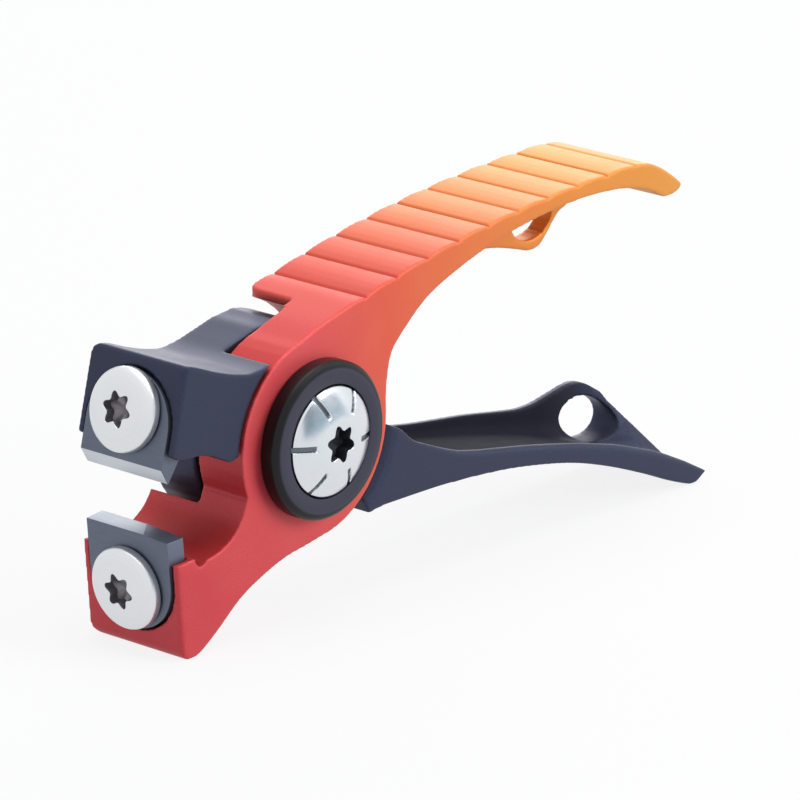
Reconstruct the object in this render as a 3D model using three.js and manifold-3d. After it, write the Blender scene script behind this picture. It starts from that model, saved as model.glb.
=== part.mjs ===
// A small hand nipper: two levers with half-lapped hubs, turning on one big side pivot.
// The ribbed lever carries the lower jaw and the thumb pad. The plain lever carries the upper
// jaw and the scooped lower handle. Each jaw has a screwed plate that can be replaced.
// Millimetres, +Z up. Each lever is drawn in its own frame with the pivot on the Y axis, the
// jaws towards -X and the handles towards +X, and is then turned about the pivot.
import * as THREE from 'three';
import { mergeVertices } from 'three/addons/utils/BufferGeometryUtils.js';
import Module from 'manifold-3d';

const wasm = await Module();
wasm.setup();

// Both levers
const leverWidth = 10;
const hubRadius = 8.4;
const jawReach = 16.45;
const ribbedTilt = 6.28;
const plainTilt = -12.88;
const runningGap = 0.25;
const seatGap = 0.2;
const reliefGap = 0.3;
const farReliefGap = 0.95;
const overrun = 1;

// Ribbed lever: thumb pad
const ribbedReach = 45.87;
const padRise = 10.94;
const padPeakReach = 25.7;
const padFrontDrop = 1.39;
const padRearDrop = 0.64;
const firstRibReach = 6.8;
const ribPitch = 3.72;
const ribSwell = 0.13;
const ribLineWidth = 0.34;
const ribLineDepth = 0.17;
const padFrontReach = 3.75;
const padFrontCorner = 0.9;

// Ribbed lever: lower jaw
const lowerJawDrop = 13.25;
const lowerJawCorner = 0.9;
const throatRadius = 4.5;
const throatReach = 12.5;
const throatDrop = 1.2;
const landDrop = 5.1;
const grooveRadius = 0.65;
const frontEdgeRadius = 0.3;
const lowerFarEdgeRadius = 1.2;

// Ribbed lever: lanyard tab
const tabThickness = 1.8;
const tabDepth = 4.77;
const tabSpread = 9;
const tabHoleWall = 0.95;
const tabHoleLength = 5;
const tabHoleHeight = 3.6;

// Plain lever: lower handle
const plainReach = 51.31;
const soleDrop = 6.1;
const crestRise = 2.95;
const scoopDip = 0.9;
const rimRoll = 0.5;
const rimSlope = 1.5;
const wallFillet = 1.2;
const farWallThickness = 1.1;
const jawReliefEdge = 0.3;
const handleReliefEdge = 1.15;
const handleHoleLength = 6.05;
const handleHoleHeight = 3.75;

// Plain lever: upper jaw
const upperJawRise = 5.45;
const upperJawDrop = 1.9;
const upperJawCorner = 0.45;
const upperFarEdgeRadius = 0.9;

// Plates
const plateRadius = 4.3;
const plateThickness = 1.8;
const plateProud = 0.15;
const cutterArchDrop = 0.1;
const cutterEdgeDrop = 3.92;
const cutterEdgeDepth = 1.05;
const frontBevelRise = 1.07;
const backBevelRise = 1.86;
const anvilArchDrop = 7.05;
const anvilTopDrop = 3.15;
const anvilLandWidth = 6.1;

// Plate screws
const screwHeadRadius = 3.36;
const screwRimHeight = 0.5;
const screwDomeHeight = 0.78;
const screwShankRadius = 1.5;
const screwLength = 5.4;
const cutterScrewRise = 1.05;
const anvilScrewDrop = 7.85;
const starRadius = 1.4;
const starDepth = 1;

// Pivot
const capRadius = 4.45;
const capRimHeight = 1.35;
const capDomeHeight = 0.75;
const capFlatRadius = 1.85;
const capStarRadius = 1.6;
const capGrooveStart = 2.6;
const capGrooveWidth = 0.45;
const capGrooveDepth = 0.35;
const capGrooveCount = 6;
const ringFootRadius = 6.45;
const ringFaceRadius = 5.6;
const ringShoulder = 1.1;
const ringHeight = 1.6;
const ringFloor = 0.6;
const ringGroove = 0.2;
const barrelRadius = 2.4;
const bushWall = 0.8;
const bushFlangeRadius = 4.4;
const bushFlangeThickness = 0.6;

// Stop pin, thrust washer and return spring, between the hubs
const washerThickness = 0.4;
const stopPinRadius = 0.75;
const stopPinDepth = 2.8;
const stopPinReach = 1.4;
const wireRadius = 0.35;
const springRadius = 3.4;
const springHeight = 3.0;
const springTurns = 3.5;
const springLeg = 1.9;

// The washer's radii, as shares of the hub's
const washerInnerShare = 0.6;
const washerOuterShare = 0.94;

// Angles, in degrees about the pivot unless a comment says otherwise
const stopPinAngle = -95;
const closingTravel = 15;
const springAngle = 50;
const capGrooveAngle = 12;
const capStarAngle = 27;
// where the outlines of the pad, its underside, the lower jaw and the throat meet the hub
const padMeetsHub = 97.5;
const undersideMeetsHub = 3;
const lowerJawMeetsHub = -84;
const throatMeetsHub = 197;
// where the outlines of the jaw's top, its underside, the sole and the crest meet the hub
const jawTopMeetsHub = 97;
const jawUnderMeetsHub = 191;
const soleMeetsHub = 327;
const crestMeetsHub = 9;
// the near end of the anvil falls away from its land, along a line that runs back at a slant
const anvilReliefTilt = 5;
const anvilReliefSkew = 36;
// ends of the throat's arc and the groove's arc, about their own centres
const throatArc = [-88, -18];
const grooveArc = [160, 330];
const jawCornerArc = [255, 180];

// Fineness of curves
const facetAngle = 7.5;
const edgeFacetAngle = 30;
const stepsPerPoint = 4;
const ribSteps = 4;
const scoopStations = 30;
const slopeSteps = 4;
const domeSteps = 4;
const starSteps = 24;
const wireSides = 6;
const springSteps = 60;
const springPoints = 12;

// Worked out from the sizes above
const half = leverWidth / 2;
const lap = washerThickness / 2;
const restAngle = ribbedTilt - plainTilt;
const firstRibRise = padRise - padFrontDrop;
const plateFront = jawReach + plateProud;
const plateBack = plateFront - plateThickness;
const pocketBack = plateBack - seatGap;
const bushRadius = barrelRadius + runningGap + bushWall;
const boreRadius = bushRadius + seatGap;
const holeRadius = screwShankRadius + runningGap;
const pocketRadius = springRadius + wireRadius + runningGap;
const pocketDepth = springHeight / 2 + wireRadius + runningGap;
const washerHoleRadius = stopPinRadius + runningGap;
const washerInnerRadius = washerInnerShare * hubRadius;
const washerOuterRadius = washerOuterShare * hubRadius;
const stopPinOrbit = (washerInnerRadius + washerOuterRadius) / 2;
const capSeat = half + ringFloor;

// Outline tables, as shares of the sizes named beside them
// of firstRibReach, and of the step from the hub's top up to the first rib
const padRootShares = [[0.184, 0.417], [0.532, 0.757], [0.824, 1]];
// of ribbedReach and padRise
const padTipShares = [[0.913, 0.909], [0.9405, 0.849], [0.968, 0.766], [0.995, 0.667], [1, 0.636],
  [0.994, 0.604], [0.9765, 0.586], [0.951, 0.595], [0.9235, 0.667], [0.896, 0.727]];
const padUndersideShares = [[0.827, 0.816], [0.717, 0.876], [0.607, 0.881], [0.498, 0.848],
  [0.39, 0.767], [0.3, 0.6536], [0.228, 0.4607], [0.203, 0.3565], [0.19, 0.2011]];
const lastRibShare = 0.88;
const tabReachShare = 0.689;
// of jawReach and lowerJawDrop
const lowerJawShares = [[-0.112, -0.646], [-0.269, -0.66], [-0.45, -0.714], [-0.595, -0.783],
  [-0.743, -0.897], [-0.867, -0.98], [-0.925, -0.998]];
// of tabSpread and tabDepth, from the tab's lowest point
const tabShares = [[-1.5, 0.86], [-1.36, 0.8], [-1, 0.62], [-0.71, 0.43], [-0.46, 0.3], [-0.19, 0.11],
  [-0.08, 0.024], [0.02, 0], [0.11, 0.043], [0.2, 0.178], [0.29, 0.33], [0.39, 0.476], [0.51, 0.548],
  [0.75, 0.9]];
// of plainReach and crestRise
const handleHoleShares = [0.8634, 0];
// of plainReach and soleDrop
const soleShares = [[0.1567, -1.01], [0.1836, -0.92], [0.2243, -0.834], [0.2931, -0.695],
  [0.3397, -0.615], [0.4108, -0.508], [0.5079, -0.398], [0.6336, -0.338], [0.7392, -0.385],
  [0.8488, -0.503], [0.9047, -0.582], [0.9602, -0.63], [0.9782, -0.597], [0.985, -0.554]];
// of plainReach and crestRise, from the tip back to the hub
const tipShares = [1, -0.898];
const slopeShares = [0.9004, 0.78];
const crestShares = [[0.87, 0.963], [0.8458, 1], [0.8226, 0.905], [0.799, 0.725], [0.7757, 0.546],
  [0.7521, 0.369], [0.7279, 0.247], [0.7034, 0.159], [0.6529, 0.081], [0.5777, -0.017],
  [0.504, -0.166], [0.4317, -0.3], [0.3506, -0.353], [0.2746, -0.186], [0.2362, -0.064],
  [0.2031, 0.22], [0.1698, 0.356]];
const rimShares = [[0.1698, 0.356], [0.2031, 0.22], [0.2362, -0.064], [0.2746, -0.186],
  [0.3506, -0.353], [0.4, -0.349], [0.4987, -0.234], [0.5521, -0.186], [0.6539, -0.136],
  [0.7587, -0.169], [0.8677, -0.356], [0.9452, -0.644], [1, -0.898], [1.05, -1.12]];
// along plainReach: shares of scoopDip, rimRoll, farWallThickness, and the far wall's lean
const scoopShares = [[0.22, 0.05, 0.1, 0.3, 0.1], [0.3, 0.6, 0.5, 0.6, 0.1], [0.4, 1, 1, 0.7, 0.1],
  [0.6, 1, 1, 0.8, 0.1], [0.74, 1, 1, 1, 0.1], [0.87, 1, 1, 1, 0.12], [0.9, 0.9, 0.9, 1, 0.35],
  [0.94, 0.5, 0.7, 1, 0.95], [1, 0.1, 0.4, 1, 1], [1.05, 0.1, 0.4, 1, 1]];
// of jawReach and upperJawRise
const jawTopShares = [[-0.12, 1.462], [-0.188, 1.391], [-0.264, 1.272], [-0.328, 1.171],
  [-0.428, 1.02], [-0.526, 0.918], [-0.6, 0.9], [-0.69, 0.905], [-0.798, 0.935], [-0.906, 0.982],
  [-0.96, 1]];
// of a star recess's radius
const starWaistShare = 0.7;
// of jawReach and upperJawDrop
const jawUnderShares = [[-0.954, -1], [-0.873, -0.953], [-0.806, -0.832], [-0.722, -0.826],
  [-0.649, -0.953], [-0.574, -1.074], [-0.55, -0.953]];

// Helpers for outlines, in the plane of X and Z
const rad = THREE.MathUtils.degToRad;

function at(shares, reach, rise) {
  return shares.map(([along, up]) => new THREE.Vector2(along * reach, up * rise));
}

function smooth(points) {
  return new THREE.SplineCurve(points).getPoints((points.length - 1) * stepsPerPoint);
}

function arc(x, z, radius, from, to, facet = facetAngle) {
  const steps = Math.max(2, Math.ceil(Math.abs(to - from) / facet));
  return new THREE.EllipseCurve(x, z, radius, radius, rad(from), rad(to), to < from).getPoints(steps);
}

function oval(x, z, length, height) {
  const steps = 360 / facetAngle / 2;
  return new THREE.EllipseCurve(x, z, length / 2, height / 2, 0, 2 * Math.PI).getPoints(steps);
}

function outline(...runs) {
  const points = [];
  for (const point of runs.flat()) {
    const last = points[points.length - 1];
    if (!last || last.distanceTo(point) > overrun / 1000) {
      points.push(point);
    }
  }
  if (points[0].distanceTo(points[points.length - 1]) < overrun / 1000) {
    points.pop();
  }
  return new THREE.Shape(points);
}

function onCircle(radius, angle) {
  return new THREE.Vector2(radius * Math.cos(rad(angle)), radius * Math.sin(rad(angle)));
}

function interpolate(table, column, x) {
  let i = 0;
  while (i < table.length - 2 && table[i + 1][0] < x) {
    i += 1;
  }
  const [a, b] = [table[i], table[i + 1]];
  const t = THREE.MathUtils.clamp((x - a[0]) / (b[0] - a[0]), 0, 1);
  return a[column] + t * (b[column] - a[column]);
}

// Helpers for solids
function toSolid(geometry) {
  geometry.deleteAttribute('normal');
  geometry.deleteAttribute('uv');
  const merged = mergeVertices(geometry);
  const corners = merged.index.array;
  const triangles = [];
  for (let i = 0; i < corners.length; i += 3) {
    const [a, b, c] = [corners[i], corners[i + 1], corners[i + 2]];
    if (a !== b && b !== c && c !== a) {
      triangles.push(a, b, c);
    }
  }
  return new wasm.Manifold(new wasm.Mesh({
    numProp: 3,
    vertProperties: new Float32Array(merged.attributes.position.array),
    triVerts: new Uint32Array(triangles),
  }));
}

function toMesh(name, solid, look) {
  const data = solid.getMesh();
  const geometry = new THREE.BufferGeometry();
  geometry.setAttribute('position', new THREE.BufferAttribute(data.vertProperties, 3));
  geometry.setIndex(new THREE.BufferAttribute(data.triVerts, 1));
  geometry.computeVertexNormals();
  const mesh = new THREE.Mesh(geometry, look);
  mesh.name = name;
  return mesh;
}

// A side outline made solid from one Y to another
function slab(shape, yNear, yFar) {
  const geometry = new THREE.ExtrudeGeometry(shape, { depth: yFar - yNear, bevelEnabled: false });
  geometry.rotateX(Math.PI / 2);
  geometry.translate(0, yFar, 0);
  return toSolid(geometry);
}

// A front outline, in Y and Z, made solid from one X to another
function bar(shape, xFront, xBack) {
  const geometry = new THREE.ExtrudeGeometry(shape, { depth: xBack - xFront, bevelEnabled: false });
  const turn = new THREE.Matrix4().makeBasis(
    new THREE.Vector3(0, 1, 0), new THREE.Vector3(0, 0, 1), new THREE.Vector3(1, 0, 0));
  geometry.applyMatrix4(turn);
  geometry.translate(xFront, 0, 0);
  return toSolid(geometry);
}

// A profile of [radius, y] pairs turned about the Y axis
function turnedGeometry(profile) {
  const points = profile.map(([radius, y]) => new THREE.Vector2(radius, y));
  const area = THREE.ShapeUtils.area(points);
  if (area < 0) {
    points.reverse();
  }
  return new THREE.LatheGeometry(points, 360 / facetAngle);
}

function turned(profile) {
  return toSolid(turnedGeometry(profile));
}

function disc(radius, yNear, yFar) {
  return turned([[0, yNear], [radius, yNear], [radius, yFar], [0, yFar]]);
}

function tube(inner, outer, yNear, yFar) {
  return turned([[inner, yNear], [outer, yNear], [outer, yFar], [inner, yFar], [inner, yNear]]);
}

// A box whose long side points away from the pivot
function radialBox(angle, inner, outer, yNear, yFar, width) {
  const geometry = new THREE.BoxGeometry(outer - inner, yFar - yNear, width);
  geometry.translate((inner + outer) / 2, (yNear + yFar) / 2, 0);
  geometry.rotateY(-rad(angle));
  return toSolid(geometry);
}

function roundRod(radius, x, z, yNear, yFar) {
  const geometry = new THREE.CylinderGeometry(radius, radius, yFar - yNear, 360 / facetAngle / 2);
  geometry.translate(x, (yNear + yFar) / 2, z);
  return toSolid(geometry);
}

// What comes off a square edge to round it, as a shape at the edge's corner
function edgeWaste(radius) {
  const ease = radius + overrun;
  const corner = [new THREE.Vector2(-radius, overrun), new THREE.Vector2(overrun, overrun),
    new THREE.Vector2(overrun, -radius)];
  return outline(corner, arc(-radius, -radius, radius, 0, 90, edgeFacetAngle),
    [new THREE.Vector2(-radius, ease - radius)]);
}

// Rounds the edge along X at (y, z), or along Z at (x, y), from one end to the other. The corner
// points away from the pivot, or towards it in X where inward is -1
function edgeAlongX(radius, y, z, from, to) {
  const geometry = new THREE.ExtrudeGeometry(edgeWaste(radius), { depth: to - from, bevelEnabled: false });
  const turn = new THREE.Matrix4().makeBasis(
    new THREE.Vector3(0, Math.sign(y), 0), new THREE.Vector3(0, 0, Math.sign(z)),
    new THREE.Vector3(Math.sign(y) * Math.sign(z), 0, 0));
  geometry.applyMatrix4(turn);
  const start = Math.sign(y) * Math.sign(z) > 0 ? from : to;
  geometry.translate(start, y, z);
  return toSolid(geometry);
}

function edgeAlongZ(radius, x, y, from, to, inward = 1) {
  const ahead = Math.sign(x) * inward;
  const geometry = new THREE.ExtrudeGeometry(edgeWaste(radius), { depth: to - from, bevelEnabled: false });
  const turn = new THREE.Matrix4().makeBasis(
    new THREE.Vector3(ahead, 0, 0), new THREE.Vector3(0, Math.sign(y), 0),
    new THREE.Vector3(0, 0, ahead * Math.sign(y)));
  geometry.applyMatrix4(turn);
  const start = ahead * Math.sign(y) > 0 ? from : to;
  geometry.translate(x, y, start);
  return toSolid(geometry);
}

// Rings of equal point counts joined into one closed skin, with flat ends
function loft(rings) {
  const count = rings[0].length;
  const positions = rings.flat().flatMap((point) => [point.x, point.y, point.z]);
  const faces = [];
  for (let i = 0; i + 1 < rings.length; i += 1) {
    for (let j = 0; j < count; j += 1) {
      const k = (j + 1) % count;
      const [a, b, c, d] = [i * count + j, i * count + k, (i + 1) * count + k, (i + 1) * count + j];
      faces.push(a, b, c, a, c, d);
    }
  }
  for (const [ring, flip] of [[0, true], [rings.length - 1, false]]) {
    const flat = rings[ring].map((point) => new THREE.Vector2(point.y, point.z));
    for (const [a, b, c] of THREE.ShapeUtils.triangulateShape(flat, [])) {
      const base = ring * count;
      faces.push(base + a, base + (flip ? c : b), base + (flip ? b : c));
    }
  }
  const geometry = new THREE.BufferGeometry();
  geometry.setAttribute('position', new THREE.Float32BufferAttribute(positions, 3));
  geometry.setIndex(faces);
  return toSolid(geometry);
}

// Ribbed lever
function crown(x) {
  const lastRib = lastRibShare * ribbedReach;
  if (x < padPeakReach) {
    return padRise - padFrontDrop * ((padPeakReach - x) / (padPeakReach - firstRibReach)) ** 2;
  }
  return padRise - padRearDrop * ((x - padPeakReach) / (lastRib - padPeakReach)) ** 2;
}

// Low pillows with a fine cut line before each one
function ribs() {
  const count = Math.floor((lastRibShare * ribbedReach - firstRibReach) / ribPitch) + 1;
  const runs = [];
  for (let i = 0; i < count; i += 1) {
    const line = firstRibReach + i * ribPitch;
    const [from, to] = [line + ribLineWidth / 2, line + ribPitch - ribLineWidth / 2];
    const start = new THREE.Vector2(from, crown(from));
    const end = new THREE.Vector2(to, crown(to));
    const middle = start.clone().add(end).multiplyScalar(1 / 2);
    middle.y += 2 * ribSwell;
    runs.push(new THREE.Vector2(line, crown(line) - ribLineDepth));
    runs.push(...(i + 1 < count
      ? new THREE.QuadraticBezierCurve(start, middle, end).getPoints(ribSteps) : [start]));
  }
  return runs;
}

function ribbedOutline() {
  const padRoot = padRootShares.map(([along, up]) => new THREE.Vector2(
    along * firstRibReach, hubRadius + up * (firstRibRise - hubRadius)));
  const firstLine = new THREE.Vector2(firstRibReach - ribLineWidth / 2, firstRibRise);
  const rib = ribs();
  const lastRib = rib[rib.length - 1];
  const tip = [lastRib, ...at(padTipShares, ribbedReach, padRise)];
  const underside = at(padUndersideShares, ribbedReach, padRise);
  const sole = at(lowerJawShares, jawReach, lowerJawDrop);
  const corner = sole[sole.length - 1];
  const land = [new THREE.Vector2(-jawReach, -landDrop)];
  const grooveX = pocketBack - grooveRadius - grooveRadius / 2;
  const groove = arc(-grooveX, -landDrop - grooveRadius / 2, grooveRadius, ...grooveArc, edgeFacetAngle);
  const throat = arc(-throatReach, -throatDrop, throatRadius, ...throatArc);
  return outline(
    smooth([onCircle(hubRadius, padMeetsHub), ...padRoot, firstLine]),
    rib,
    smooth(tip),
    smooth([tip[tip.length - 1], ...underside, onCircle(hubRadius, undersideMeetsHub)]),
    arc(0, 0, hubRadius, undersideMeetsHub, lowerJawMeetsHub),
    smooth([onCircle(hubRadius, lowerJawMeetsHub), ...sole]),
    arc(-jawReach + lowerJawCorner, corner.y + lowerJawCorner, lowerJawCorner, ...jawCornerArc,
      edgeFacetAngle / 2),
    land,
    groove,
    throat,
    arc(0, 0, hubRadius, throatMeetsHub, padMeetsHub),
  );
}

const tabReach = tabReachShare * ribbedReach;
const tabRoof = padUndersideShares[1][1] * padRise;
const tabLowest = tabRoof - tabDepth;

function tabOutline() {
  const edge = tabShares.map(([along, up]) => new THREE.Vector2(
    tabReach + along * tabSpread, tabLowest + up * tabDepth));
  const [first, last] = [edge[0], edge[edge.length - 1]];
  const roof = [new THREE.Vector2(last.x, tabRoof + ribLineWidth),
    new THREE.Vector2(first.x, padUndersideShares[3][1] * padRise + ribLineWidth)];
  return outline(smooth(edge), roof);
}

// A plate's arch with straight sides, in Y and Z, from its arch to its free end
function archOutline(radius, archZ, endZ) {
  const up = endZ > archZ;
  const bow = up ? arc(0, archZ, radius, 180, 360) : arc(0, archZ, radius, 0, 180);
  const side = up ? 1 : -1;
  return outline(bow, [new THREE.Vector2(side * radius, endZ), new THREE.Vector2(-side * radius, endZ)]);
}

function screwHole(z) {
  const geometry = new THREE.CylinderGeometry(holeRadius, holeRadius,
    screwLength + overrun, 360 / facetAngle / 2);
  geometry.rotateZ(Math.PI / 2);
  geometry.translate(-plateFront - seatGap + (screwLength + overrun) / 2, 0, z);
  return toSolid(geometry);
}

function hubCuts(side, slotAngle) {
  const face = side * lap;
  const outer = side * (half + overrun);
  const span = (a, b) => [Math.min(a, b), Math.max(a, b)];
  return [
    disc(boreRadius, ...span(outer, -face)),
    disc(bushFlangeRadius + seatGap, ...span(outer, side * (half - bushFlangeThickness))),
    disc(pocketRadius, ...span(-face, side * pocketDepth)),
    radialBox(slotAngle, 0, springRadius + springLeg + runningGap,
      ...span(-face, side * pocketDepth), 2 * (wireRadius + runningGap)),
  ];
}

function cutAll(solid, tools) {
  return tools.reduce((left, tool) => left.subtract(tool), solid);
}

function ribbedLever() {
  const blank = slab(ribbedOutline(), -half, half);
  const tab = slab(tabOutline(), -tabThickness / 2, tabThickness / 2);
  const tabHole = slab(outline(oval(
    tabReach, tabLowest + tabHoleWall + tabHoleHeight / 2, tabHoleLength, tabHoleHeight)), -half, half);
  const padFront = new THREE.BoxGeometry(padFrontReach, half - lap, hubRadius);
  padFront.translate(padFrontReach / 2, (half + lap) / 2, hubRadius + hubRadius / 2);
  const pin = onCircle(stopPinOrbit, stopPinAngle);
  const pocket = bar(archOutline(plateRadius + seatGap, -anvilArchDrop, 0), -jawReach - overrun, -pocketBack);
  return cutAll(blank.add(tab), [
    tabHole,
    disc(hubRadius + farReliefGap, -lap, half + overrun),
    toSolid(padFront),
    edgeAlongZ(padFrontCorner, padFrontReach, half, hubRadius, hubRadius + hubRadius, -1),
    ...hubCuts(-1, springAngle),
    roundRod(washerHoleRadius, pin.x, pin.y, -lap - stopPinDepth - runningGap, lap),
    pocket,
    screwHole(-anvilScrewDrop),
    edgeAlongX(lowerFarEdgeRadius, half, -lowerJawDrop, -jawReach - overrun, -throatReach),
    edgeAlongZ(frontEdgeRadius, -jawReach, -half, -lowerJawDrop - overrun, -landDrop + overrun),
  ]);
}

// Plain lever
function plainOutline() {
  const tip = at([tipShares], plainReach, crestRise);
  const slope = at([slopeShares], plainReach, crestRise);
  const crest = at(crestShares, plainReach, crestRise);
  const sole = at(soleShares, plainReach, soleDrop);
  const top = at(jawTopShares, jawReach, upperJawRise);
  const under = at(jawUnderShares, jawReach, upperJawDrop);
  return outline(
    smooth([onCircle(hubRadius, jawTopMeetsHub), ...top]),
    arc(-jawReach + upperJawCorner, upperJawRise - upperJawCorner, upperJawCorner, 90, 180,
      edgeFacetAngle),
    [new THREE.Vector2(-jawReach, -upperJawDrop + upperJawCorner / 2)],
    smooth(under),
    arc(0, 0, hubRadius, jawUnderMeetsHub, soleMeetsHub),
    smooth(sole),
    tip,
    smooth([...slope, ...crest]),
    arc(0, 0, hubRadius, crestMeetsHub, jawTopMeetsHub),
  );
}

// The space above the handle, which sweeps from the rounded near rim up to the far wall
function scoopRing(x) {
  const share = x / plainReach;
  const rim = interpolate(rimShares, 1, share) * crestRise;
  const dip = interpolate(scoopShares, 1, share) * scoopDip;
  const roll = interpolate(scoopShares, 2, share) * rimRoll;
  const wall = interpolate(scoopShares, 3, share) * farWallThickness;
  const lean = interpolate(scoopShares, 4, share);
  const [tipX, tipZ] = [plainReach * tipShares[0], crestRise * tipShares[1]];
  const [slopeX, slopeZ] = [plainReach * slopeShares[0], crestRise * slopeShares[1]];
  const past = Math.max(0, x - slopeX) / (tipX - slopeX);
  const crest = interpolate([...crestShares].reverse(), 1, share) * crestRise;
  const top = past > 0 ? slopeZ + past * (tipZ - slopeZ) : crest;
  const floorZ = rim - dip;
  const wallTop = Math.max(top, floorZ + dip / 2);
  const wallY = half - wall - past * (slopeZ - tipZ);
  const footY = wallY - lean * (wallTop - floorZ);
  const fillet = Math.min(wallFillet, (wallTop - floorZ) / 2);
  const rimY = -half + roll;
  const slope = new THREE.CubicBezierCurve(
    new THREE.Vector2(rimY, rim),
    new THREE.Vector2(rimY + rimSlope / 2, rim),
    new THREE.Vector2(rimY + rimSlope / 2, floorZ),
    new THREE.Vector2(rimY + rimSlope, floorZ),
  );
  const foot = new THREE.QuadraticBezierCurve(
    new THREE.Vector2(Math.max(footY - fillet, rimY + rimSlope + roll), floorZ),
    new THREE.Vector2(footY, floorZ),
    new THREE.Vector2(footY + lean * fillet, floorZ + fillet),
  );
  const start = new THREE.Vector2(-half - overrun, rim - roll);
  const rolled = arc(rimY, rim - roll, roll, 180, 90, edgeFacetAngle).slice(0, -1);
  const roof = [new THREE.Vector2(wallY, wallTop), new THREE.Vector2(wallY, hubRadius),
    new THREE.Vector2(-half - overrun, hubRadius)];
  return [start, ...rolled, ...slope.getPoints(slopeSteps), ...foot.getPoints(slopeSteps), ...roof]
    .map((point) => new THREE.Vector3(x, point.x, point.y));
}

function scoop() {
  const [from, to] = [scoopShares[0][0] * plainReach, plainReach + overrun];
  const stations = Array.from({ length: scoopStations + 1 }, (_, i) => from + (to - from) * i / scoopStations);
  return loft(stations.map(scoopRing));
}

// Clears the near half of the plain lever for the ribbed hub, with a rounded near edge
function nearRelief(edge) {
  const inner = hubRadius + reliefGap;
  const flare = arc(inner + edge, -half + edge, edge, 180, 270, edgeFacetAngle)
    .map((point) => [point.x, point.y]);
  return turned([[0, lap], [inner, lap], ...flare, [inner + edge, -half - overrun], [0, -half - overrun]]);
}

function handleSide() {
  const geometry = new THREE.BoxGeometry(plainReach, leverWidth * 2, plainReach);
  geometry.translate(plainReach / 2, 0, 0);
  return toSolid(geometry);
}

function stopSlot() {
  const from = stopPinAngle + restAngle - closingTravel;
  const to = stopPinAngle + restAngle;
  const [inner, outer] = [stopPinOrbit - washerHoleRadius, stopPinOrbit + washerHoleRadius];
  const [start, end] = [onCircle(stopPinOrbit, from), onCircle(stopPinOrbit, to)];
  const shape = outline(
    arc(0, 0, outer, from, to),
    arc(end.x, end.y, washerHoleRadius, to, to + 180),
    arc(0, 0, inner, to, from),
    arc(start.x, start.y, washerHoleRadius, from + 180, from + 360),
  );
  return slab(shape, 0, lap + stopPinReach + runningGap);
}

function plainLever() {
  const blank = slab(plainOutline(), -half, half);
  const hole = slab(outline(oval(handleHoleShares[0] * plainReach, handleHoleShares[1] * crestRise,
    handleHoleLength, handleHoleHeight)), half / 3, half + overrun);
  const pocket = bar(archOutline(plateRadius + seatGap, -cutterArchDrop, -hubRadius),
    -jawReach - overrun, -pocketBack);
  const farSlot = springAngle + 360 * springTurns + restAngle;
  return cutAll(blank, [
    scoop(),
    hole,
    nearRelief(jawReliefEdge),
    nearRelief(handleReliefEdge).intersect(handleSide()),
    ...hubCuts(1, farSlot),
    stopSlot(),
    pocket,
    screwHole(cutterScrewRise),
    edgeAlongX(upperFarEdgeRadius, half, upperJawRise, -jawReach - overrun, -throatReach),
    edgeAlongZ(frontEdgeRadius, -jawReach, -half, -upperJawDrop - overrun, upperJawRise + overrun),
  ]);
}

// Plates: the side profile and the front outline meet in one solid
function cutterPlate() {
  const edgeX = -plateFront + cutterEdgeDepth;
  const side = outline([
    new THREE.Vector2(-plateFront, plateRadius + overrun),
    new THREE.Vector2(-plateFront, -cutterEdgeDrop + frontBevelRise),
    new THREE.Vector2(edgeX, -cutterEdgeDrop),
    new THREE.Vector2(-plateBack, -cutterEdgeDrop + backBevelRise),
    new THREE.Vector2(-plateBack, plateRadius + overrun),
  ]);
  const front = bar(archOutline(plateRadius, -cutterArchDrop, -hubRadius), -plateFront, -plateBack);
  return slab(side, -half, half).intersect(front).subtract(screwHole(cutterScrewRise));
}

function anvilPlate() {
  const front = bar(archOutline(plateRadius, -anvilArchDrop, -anvilTopDrop), -plateFront, -plateBack);
  const relief = new THREE.BoxGeometry(leverWidth, leverWidth, plateThickness);
  relief.translate(0, -leverWidth / 2, plateThickness / 2);
  relief.rotateX(rad(anvilReliefTilt));
  relief.rotateZ(rad(anvilReliefSkew));
  relief.translate(-plateFront, plateRadius - anvilLandWidth, -anvilTopDrop);
  return cutAll(front, [toSolid(relief), screwHole(-anvilScrewDrop)]);
}

// Fasteners, turned about Y with the head towards +Y
function star(radius, depth, top, angle) {
  const points = Array.from({ length: starSteps }, (_, i) => {
    const turn = i / starSteps * 2 * Math.PI;
    const lobe = (1 + Math.cos(6 * turn)) / 2;
    return onCircle(radius * (starWaistShare + (1 - starWaistShare) * lobe), i / starSteps * 360 + angle);
  });
  return slab(new THREE.Shape(points), top - depth, top + overrun);
}

// A quarter of an ellipse from the head's rim up to its flat middle
function dome(radius, flat, base, height) {
  return Array.from({ length: domeSteps + 1 }, (_, i) => {
    const angle = Math.PI / 2 * i / domeSteps;
    return [flat + (radius - flat) * Math.cos(angle), base + height * Math.sin(angle)];
  });
}

function roundHead(radius, flat, rimHeight, domeHeight, sunk = 0) {
  const edge = dome(radius, flat, rimHeight, domeHeight).map(([along, up]) => [along, up - sunk]);
  return turned([[0, 0], [radius, 0], ...edge, [0, rimHeight + domeHeight - sunk]]);
}

function plateScrew(z) {
  const shank = disc(screwShankRadius, -screwLength, screwRimHeight / 2);
  const screw = roundHead(screwHeadRadius, starRadius, screwRimHeight, screwDomeHeight)
    .subtract(star(starRadius, starDepth, screwRimHeight + screwDomeHeight, 0))
    .add(shank);
  return screw.rotate([0, 0, 90]).translate([-plateFront - seatGap, 0, z]);
}

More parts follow.
